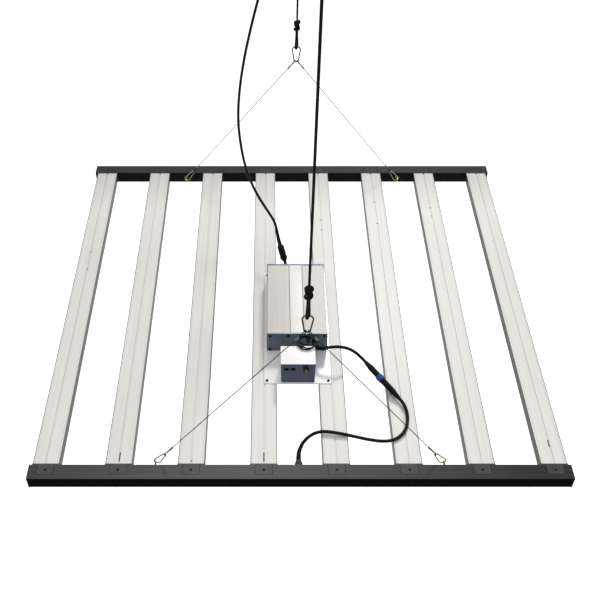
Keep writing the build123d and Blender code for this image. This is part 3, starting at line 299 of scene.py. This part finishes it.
# painted shade: the hooks and gates at the front are darker than those at the rear
paint_shade_along(hook_steel_painted_shade, "Y", start=0.1, end=-0.1, last=0.25)
eye_brass = make_material(
    "eye brass", (0.4, 0.27, 0.1), (0.5, 0.35, 0.14), 0.35, metallic=0.9,
)
wire_steel = make_material(
    "wire steel", grey(0.008), grey(0.02), 0.45, metallic=0.1, scale=900, specular=0.1,
)
ferrule_grey = make_material(
    "ferrule grey", grey(0.12), grey(0.2), 0.4, metallic=0.6, scale=300,
)
tie_black = make_material("tie black", grey(0.01), grey(0.02), 0.9, bump=0.5)
label_white = make_material(
    "label white", (0.78, 0.765, 0.72), (0.84, 0.825, 0.785), 0.14, scale=25, coat=0.6,
)
seam_grey = make_material("seam grey", grey(0.1), grey(0.16), 0.5)
diode_yellow = make_material(
    "diode yellow", (0.8, 0.62, 0.16), (0.86, 0.7, 0.24), 0.25, scale=500, coat=0.4,
)
mark_green = make_material("mark green", (0.35, 0.42, 0.06), (0.42, 0.5, 0.09), 0.5)
print_black = make_material(
    "print black", grey(0.02), grey(0.2), 0.6, scale=420, specular=0.2,
)

finish_of = {
    "front_rail": front_rail_black_painted_sheen, "rear_rail": rear_rail_black_painted_shade, "rail_end_plugs": plastic_black,
    "led_boards": board_white, "bar_brackets": bracket_black_painted_light, "bracket_screws": screw_black,
    "bar_rivets": rivet_steel, "rail_harness": cable_black, "eye_bolts": eye_brass,
    "snap_hooks": hook_steel_painted_shade, "carabiners": hook_black, "front_carabiner_gate": hook_black,
    "rear_carabiner_gate": hook_black, "front_ceiling_gate": hook_black,
    "rear_ceiling_gate": hook_black, "rope_ends": rope_black, "wire_loops": wire_steel,
    "wire_ferrules": ferrule_grey, "mounting_plate": plate_white, "deck_screws": screw_black,
    "driver_case": driver_grey, "driver_front_plate": slate, "driver_rear_plate": slate,
    "driver_screws": screw_black, "driver_board": board_green,
    "controller_shell": shell_white, "controller_panel": panel_slate,
    "rj_jacks": jack_black, "controller_board": board_green, "dimmer_knob": knob_black,
    "cable_glands": gland_black, "output_connector": connector_black,
    "output_ring": ring_blue, "power_connector": connector_black,
    "power_ring": connector_black, "coil_tie": tie_black, "mains_plug": connector_black,
}
corners = ("front_left", "front_right", "rear_left", "rear_right")
finish_of.update({f"{corner}_gate": hook_steel_painted_shade for corner in corners})
finish_of.update({f"bar_{number + 1}": bar_silver for number in range(bar_count)})


def dress_nodes():
    """Every shown CAD node gets its finish."""
    for name, finish in finish_of.items():
        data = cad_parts[name].data
        data.materials.clear()
        data.materials.append(finish)


# ---- Cords -------------------------------------------------------------------------
# Control points from the fixture's middle, as in the CAD model's routes
output_way = (
    (0.044, -0.203, 0.038), (0.044, -0.211, 0.038), (0.0475, -0.2185, 0.0415),
    (0.056, -0.224, 0.047), (0.070, -0.226, 0.052), (0.092, -0.2245, 0.0535),
    (0.115, -0.2215, 0.0465), (0.136, -0.2235, 0.0335), (0.1519, -0.2347, 0.024),
    (0.160, -0.246, 0.0225),
)
rail_way = (
    (0.2283, -0.3421, 0.010), (0.2359, -0.3528, 0.0086), (0.2425, -0.368, 0.0066),
    (0.2445, -0.396, 0.0044), (0.2365, -0.429, 0.0042), (0.216, -0.452, 0.0042),
    (0.189, -0.460, 0.0042), (0.153, -0.455, 0.0042), (0.111, -0.4435, 0.005),
    (0.076, -0.437, 0.0074), (0.049, -0.434, 0.0076), (0.027, -0.439, 0.003),
    (0.009, -0.453, -0.005), (-0.0005, -0.4685, -0.0135), (-0.0025, -0.484, -0.018),
    (-0.0025, -0.497, -0.018),
)
pigtail_way = (
    (-0.022, 0.060, 0.026), (-0.022, 0.0705, 0.026), (-0.0229, 0.0805, 0.0301),
    (-0.0259, 0.0874, 0.0378),
)
power_way = (
    (-0.0393, 0.118, 0.072), (-0.0447, 0.1304, 0.0858), (-0.0475, 0.1435, 0.101),
    (-0.053, 0.1575, 0.114), (-0.065, 0.175, 0.124), (-0.083, 0.200, 0.138),
    (-0.105, 0.231, 0.159), (-0.125, 0.268, 0.188), (-0.140, 0.313, 0.229),
    (-0.149, 0.360, 0.288), (-0.144, 0.391, 0.358), (-0.131, 0.414, 0.434),
    (-0.113, 0.431, 0.510), (-0.095, 0.448, 0.575), (-0.077, 0.464, 0.632),
    (-0.059, 0.475, 0.688), (-0.0409, 0.475, 0.728),
)
dimming_way = (
    (0.026, -0.203, 0.046), (0.026, -0.209, 0.046), (0.0225, -0.2145, 0.048),
    (0.0155, -0.217, 0.051), (0.0085, -0.215, 0.0548), (0.0038, -0.2115, 0.061),
)
dimming_return = (
    (0.0356, -0.2062, 0.0525), (0.0352, -0.208, 0.043), (0.034, -0.2135, 0.035),
    (0.0325, -0.2215, 0.0306), (0.032, -0.232, 0.030),
)
# Widths of the tapered sleeves at their points, in diameters of the cord
mains_boot_widths = (1.75, 1.6, 1.3, 1.1)
power_boot_widths = (1.5, 1.3, 1.05)
output_boot_widths = (1.6, 1.5, 1.3, 1.1)
rail_boot_widths = (1.5, 1.4, 1.2, 1.05)
mains_diameter = 0.007
output_diameter = 0.0075
dimming_diameter = 0.003
rope_diameter = 0.005
wire_diameter = 0.0018

power_tail = (
    (0.0475, 0.471, 0.695), (0.052, 0.4735, 0.683), (0.0543, 0.475, 0.673),
    (0.0543, 0.475, 0.6636),
)
power_coil_middle = at(0.0045, 0.475, 0.7076)
power_coil_radius = 0.038
power_coil_start = radians(135)
power_coil_turns = 3 + 6 / 16
power_strand = 0.0052            # how far the strands stand off the coil's middle line
dimming_coil_middle = at(0.022, -0.222, 0.0659)
dimming_coil_radius = 0.021
dimming_coil_start = radians(140)
dimming_coil_turns = 3 + 4 / 16
dimming_strand = 0.0022
dimming_wobble = 0.0022
wobble_waves = 2                 # in one turn of a coil
wobble_drift = 2.2               # how far those waves move on in a turn, in radians
strand_turns = 0.25              # turns round the middle line in one turn of a coil
rope_y = 0.487                   # the ropes hang this far from the fixture's middle
lower_loop_z = -0.74465          # top of the lower hooks
upper_loop_z = -0.0432           # and foot of the ceiling hooks
points_per_turn = 16
corner_cut = 1 / cos(pi / points_per_turn)    # a turn's points stand outside its curve
x_axis = Vector((1, 0, 0))
y_axis = Vector((0, 1, 0))
z_axis = Vector((0, 0, 1))


def make_curve(name, points, diameter, finish):
    """A round cord whose spline has these control points."""
    data = bpy.data.curves.new(name, "CURVE")
    data.dimensions = "3D"
    data.resolution_u = 12
    data.bevel_depth = diameter / 2
    data.bevel_resolution = 5
    data.use_fill_caps = True
    spline = data.splines.new("NURBS")
    spline.points.add(len(points) - 1)
    for point, place in zip(spline.points, points):
        point.co = (*place, 1)
    spline.order_u = 3
    spline.use_endpoint_u = True
    cord = bpy.data.objects.new(name, data)
    bpy.context.scene.collection.objects.link(cord)
    data.materials.append(finish)
    return cord


def coil_points(middle, across, up, radius, first, turns, strand, wobble=0.0):
    """A coil's control points: its strands keep a diameter apart as they go round."""
    normal = across.cross(up)
    count = round(turns * points_per_turn)
    points = []
    for step in range(count + 1):
        done = step / points_per_turn
        angle = first - 2 * pi * done
        roll = done * 2 * pi * strand_turns
        loose = wobble * sin(wobble_waves * angle + wobble_drift * done)
        out = (radius + strand * cos(roll) + loose) * corner_cut
        side = strand * sin(roll)
        points.append(
            middle + across * (out * cos(angle)) + up * (out * sin(angle)) + normal * side
        )
    return points


def make_power_cord():
    """The mains cord from the driver's rear gland through its connector to the plug."""
    coil = coil_points(
        power_coil_middle, x_axis, z_axis, power_coil_radius, power_coil_start,
        power_coil_turns, power_strand,
    )
    way = [at(*place) for place in pigtail_way + power_way] + coil
    way += [at(*place) for place in power_tail]
    cord = make_curve("power_flex", way, mains_diameter, cable_black)
    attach(cord, "fixture")
    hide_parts("power_cord", "power_coil")
    make_boot("mains_boot", pigtail_way, mains_boot_widths, mains_diameter)
    make_boot("power_boot", power_way[:3], power_boot_widths, mains_diameter)


def make_output_cable():
    """The cable from the driver through its connector to the front rail's gland."""
    way = [at(*place) for place in output_way + rail_way]
    from_rail = rail_way[::-1]
    make_boot("output_boot", output_way[:4], output_boot_widths, output_diameter)
    make_boot("rail_boot", from_rail[:4], rail_boot_widths, output_diameter)
    cord = make_curve("output_flex", way, output_diameter, cable_black)
    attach(cord, "fixture")
    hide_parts("output_cable")


def make_dimming_lead():
    """The thin lead from the driver, coiled up on the dimmer box and back down into it."""
    coil = coil_points(
        dimming_coil_middle, x_axis, y_axis, dimming_coil_radius, dimming_coil_start,
        dimming_coil_turns, dimming_strand, dimming_wobble,
    )
    way = [at(*place) for place in dimming_way] + coil
    way += [at(*place) for place in dimming_return]
    cord = make_curve("dimming_flex", way, dimming_diameter, cable_black)
    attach(cord, "fixture")
    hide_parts("dimming_lead", "dimming_coil")


def make_taut(name, node, start, end, diameter, finish):
    """A rope or wire that is pulled straight between two places."""
    points = [start.lerp(end, share) for share in (0, 0.1, 0.5, 0.9, 1)]
    cord = make_curve(name, points, diameter, finish)
    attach(cord, "fixture")
    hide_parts(node)


def ends_of(node, diameter):
    """The middles of the lower and the upper end of a straight round CAD node."""
    points = [vertex.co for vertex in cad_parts[node].data.vertices]
    reach = diameter * 1.2       # takes in a slanted end's whole rim
    low_z = min(point.z for point in points)
    high_z = max(point.z for point in points)
    low = [point for point in points if point.z < low_z + reach]
    high = [point for point in points if point.z > high_z - reach]
    return sum(low, Vector()) / len(low), sum(high, Vector()) / len(high)


def make_ropes_and_wires():
    """The two ropes with their loops and knots, and the four wires."""
    for end, side in (("front", -1), ("rear", 1)):
        start, stop = ends_of(f"{end}_rope", rope_diameter)
        pieces = []
        for level, height, up in (("lower", lower_loop_z, 1), ("upper", upper_loop_z, -1)):
            foot = Vector((0, side * rope_y, height))
            pieces += make_loop_and_knot(f"{end}_{level}", foot, up)
        make_taut(f"{end}_line", f"{end}_rope", start, stop, rope_diameter, rope_black)
    for corner in corners:
        start, stop = ends_of(f"{corner}_wire", wire_diameter)
        make_taut(f"{corner}_strand", f"{corner}_wire", start, stop, wire_diameter,
                  wire_steel)


# ---- Pieces that the CAD model leaves to the looks ---------------------------------
film = 0.0002                    # height of a seam or a print
label_half = 0.0155
label_height = 0.0004
seam_half = 0.0008
end_gap = 0.003                  # from the driver's ends to its label
diode_size = 0.003
diode_height = 0.0007
diode_bevel = 0.0004
diode_pitch = 0.008
diode_row = 0.010                # from the bar's middle
diode_margin = 0.006
bar_groove_depth = 0.0016
print_half = 0.0014
# Bar number, start from the bar's front end, length
bar_prints = ((2, 0.006, 0.024), (3, 0.006, 0.004), (4, 0.006, 0.024), (8, 0.044, 0.019))


def add_mesh(name, vertices, faces, finish, slot, body="fixture"):
    """A mesh piece that rides on a body."""
    data = bpy.data.meshes.new(name)
    data.from_pydata(vertices, [], faces)
    data.materials.append(finish)
    piece = bpy.data.objects.new(name, data)
    bpy.context.scene.collection.objects.link(piece)
    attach(piece, body)
    return piece


slab_faces = (
    (0, 2, 3, 1), (4, 5, 7, 6), (0, 1, 5, 4), (1, 3, 7, 5), (3, 2, 6, 7), (2, 0, 4, 6),
)


def slab(low, high, inset):
    """A thin block's corners and faces, its far side along Z smaller by an inset."""
    vertices = [(x, y, low[2]) for y in (low[1], high[1]) for x in (low[0], high[0])]
    edges_x = (low[0] + inset, high[0] - inset)
    edges_y = (low[1] + inset, high[1] - inset)
    vertices += [(x, y, high[2]) for y in edges_y for x in edges_x]
    return vertices, slab_faces


def make_label():
    """The blank gloss strip between the driver's ribs, with a seam along each side."""
    low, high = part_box("driver_case")
    front = low[1] + end_gap
    rear = high[1] - end_gap
    middle = at(0, 0, 0).x
    top = high[2]
    strip = slab(
        (middle - label_half, front, top), (middle + label_half, rear, top + label_height),
        label_height / 2,
    )
    add_mesh("driver_label", *strip, label_white, "driver_grey")
    for hand, name in ((-1, "left_seam"), (1, "right_seam")):
        x = middle + hand * (label_half + seam_half)
        line = slab((x - seam_half, front, top), (x + seam_half, rear, top + film), film / 2)
        add_mesh(name, *line, seam_grey, "driver_grey")


def make_diodes():
    """Two rows of diodes under each bar, on its board."""
    low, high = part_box("led_boards")
    board_under = low[2]
    half = diode_size / 2
    vertices = []
    faces = []
    count = int((high[1] - low[1] - 2 * diode_margin) / diode_pitch) + 1
    first = -(count - 1) / 2 * diode_pitch
    for bar in range(bar_count):
        bar_middle = at((bar - (bar_count - 1) / 2) * bar_pitch, 0, 0).x
        for side in (-1, 1):
            x = bar_middle + side * diode_row
            for step in range(count):
                y = first + step * diode_pitch
                corner = (x - half, y - half, board_under)
                far = (x + half, y + half, board_under - diode_height)
                block, sides = slab(corner, far, diode_bevel)
                start = len(vertices)
                vertices += block
                faces += [tuple(start + index for index in reversed(face)) for face in sides]
    add_mesh("diodes", vertices, faces, diode_yellow, "board_white")


def make_bar_marks():
    """The small dark prints in the grooves of four bars, as plain dashes."""
    for number, start, length in bar_prints:
        low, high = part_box(f"bar_{number}")
        middle = (low[0] + high[0]) / 2
        front = low[1] + start
        floor = high[2] - bar_groove_depth
        dash = slab(
            (middle - print_half, front, floor),
            (middle + print_half, front + length, floor + film), film / 2,
        )
        add_mesh(f"bar_{number}_print", *dash, print_black, "bar_silver")


def make_knob_mark():
    """The pointer on the dimmer knob's face."""
    low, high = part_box("dimmer_knob")
    x = (low[0] + high[0]) / 2
    z = (low[2] + high[2]) / 2
    face = low[1]
    # Distance out of the face, half width and far end, at the pointer's foot and top
    levels = ((0, 0.0009, 0.0045), (0.0004, 0.0006, 0.0042))
    near_end = 0.0008
    vertices = [
        (x + across, face - out, z + up)
        for out, half_width, far_end in levels
        for up in (near_end, far_end)
        for across in (-half_width, half_width)
    ]
    faces = [tuple(reversed(side)) for side in slab_faces]
    add_mesh("knob_mark", vertices, faces, mark_green, "knob_black", "dimmer_knob")


def make_boot(name, places, widths, diameter):
    """A tapered sleeve on a cord, from its exit along these places."""
    boot = make_curve(name, [at(*place) for place in places], diameter, connector_black)
    for point, width in zip(boot.data.splines[0].points, widths):
        point.radius = width
    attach(boot, "fixture")
    return boot


# A rope's loop, from the knot's far end round the hook and back: across, and along the rope
loop_outline = (
    (-0.0027, 0.072), (-0.0027, 0.045), (-0.003, 0.026), (-0.005, 0.010), (-0.0056, 0.0),
    (-0.0042, -0.0056), (0.0, -0.0068), (0.0042, -0.0056), (0.0056, 0.0), (0.005, 0.010),
    (0.003, 0.026), (0.0027, 0.045), (0.0027, 0.072),
)
loop_turn = radians(30)
loop_length = 0.043
knot_wraps = 4
knot_pitch = 0.0066
knot_points = 12                 # for each wrap
knot_start = 0.0028              # from the loop's end to the first wrap
knot_radius = 0.0058
knot_swell = 0.0011              # how much the wraps differ in radius
knot_slant = 0.0022              # and how far they lean
swell_start = 0.6                # where the swell's wave begins, in radians,
swell_step = 2.3                 # and how far it moves on in each wrap
slant_step = 1.9                 # how far the lean's direction turns in each wrap


def make_loop_and_knot(name, foot, up):
    """One end of a rope: the loop round a hook at its foot, and the wraps of its knot."""
    across = Vector((sin(loop_turn), cos(loop_turn), 0))
    along = Vector((0, 0, up))
    loop = [foot + across * side + along * height for side, height in loop_outline]
    wraps = []
    for step in range(knot_wraps * knot_points + 1):
        wrap = step / knot_points
        angle = 2 * pi * wrap
        radius = knot_radius + knot_swell * sin(swell_step * wrap + swell_start)
        slant = knot_slant * cos(angle - slant_step * wrap)
        height = loop_length + knot_start + knot_pitch * wrap + slant
        around = Vector((cos(angle), sin(angle), 0)) * radius
        wraps.append(foot + around + along * height)
    pieces = []
    for part, points in (("loop", loop), ("knot", wraps)):
        piece = make_curve(f"{name}_{part}", points, rope_diameter, rope_black)
        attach(piece, "fixture")
        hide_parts("rope_ends")
        pieces.append(piece)
    return pieces


# ---- Camera, light and floor -------------------------------------------------------
sky_start = 0.3                  # sine of the height where the sky begins to brighten
sky_low = 0.08
sky_high = 1.07
floor_z = -2.4


def make_camera():
    """The camera that was fitted to the photograph."""
    camera = bpy.data.objects.new("camera", bpy.data.cameras.new("camera"))
    bpy.context.scene.collection.objects.link(camera)
    camera.location = (-0.0704, -1.6172, 0.4252)
    camera.rotation_euler = (radians(45), 0, 0)
    camera.data.sensor_width = 36
    camera.data.lens = 53.35
    camera.data.shift_x = 0.0509
    camera.data.clip_end = 50
    bpy.context.scene.camera = camera


def seen_directly(tree):
    """1 for what the camera, a mirror or a glass shows, and 0 for light on the object."""
    path = tree.nodes.new("ShaderNodeLightPath")
    seen = math_of(
        tree, "MAXIMUM", path.outputs["Is Camera Ray"], path.outputs["Is Glossy Ray"],
    )
    return math_of(tree, "MAXIMUM", seen, path.outputs["Is Transmission Ray"])


def make_world():
    """A sky that brightens upwards as a soft light, and plain white where it is seen."""
    world = bpy.data.worlds.new("studio")
    bpy.context.scene.world = world
    world.use_nodes = True
    tree = world.node_tree
    background = tree.nodes["Background"]
    background.inputs["Color"].default_value = (1, 1, 1, 1)
    coordinates = tree.nodes.new("ShaderNodeTexCoord")
    height = axis_of(tree, coordinates.outputs["Generated"], "Z")
    sky = range_of(tree, height, sky_low, sky_high, sky_start)
    strength = tree.nodes.new("ShaderNodeMix")
    strength.inputs["B"].default_value = 1.0
    tree.links.new(seen_directly(tree), strength.inputs["Factor"])
    tree.links.new(sky, strength.inputs["A"])
    tree.links.new(strength.outputs["Result"], background.inputs["Strength"])


def make_lamp(name, place, target, size, power):
    """A round lamp aimed at a target."""
    lamp = bpy.data.objects.new(name, bpy.data.lights.new(name, "AREA"))
    bpy.context.scene.collection.objects.link(lamp)
    lamp.location = place
    lamp.rotation_euler = (Vector(target) - Vector(place)).to_track_quat("-Z", "Y").to_euler()
    lamp.data.shape = "DISK"
    lamp.data.size = size
    lamp.data.energy = power


def make_floor():
    """A floor far below the hanging light: white where it is seen, dim as a light."""
    bpy.ops.mesh.primitive_plane_add(size=30, location=(0, 0, floor_z))
    floor = bpy.context.object
    floor.name = "floor"
    material, tree, shader = material_base("floor white")
    direct = seen_directly(tree)
    colour = colours_of(tree, direct, grey(0.15), grey(0.91))
    tree.links.new(colour, shader.inputs["Base Color"])
    shader.inputs["Roughness"].default_value = 0.9
    shader.inputs["Emission Color"].default_value = (1, 1, 1, 1)
    tree.links.new(range_of(tree, direct, 0, 0.55), shader.inputs["Emission Strength"])
    floor.data.materials.append(material)


dress_nodes()
make_power_cord()
make_output_cable()
make_dimming_lead()
make_ropes_and_wires()
make_label()
make_diodes()
make_knob_mark()
make_bar_marks()
make_camera()
make_world()
make_lamp("key", place=(0.5, 2.0, 1.0), target=(0, 0, -1.2), size=0.5, power=42)
make_floor()
bpy.context.scene.view_settings.view_transform = "Standard"
bpy.context.scene.view_settings.look = "None"
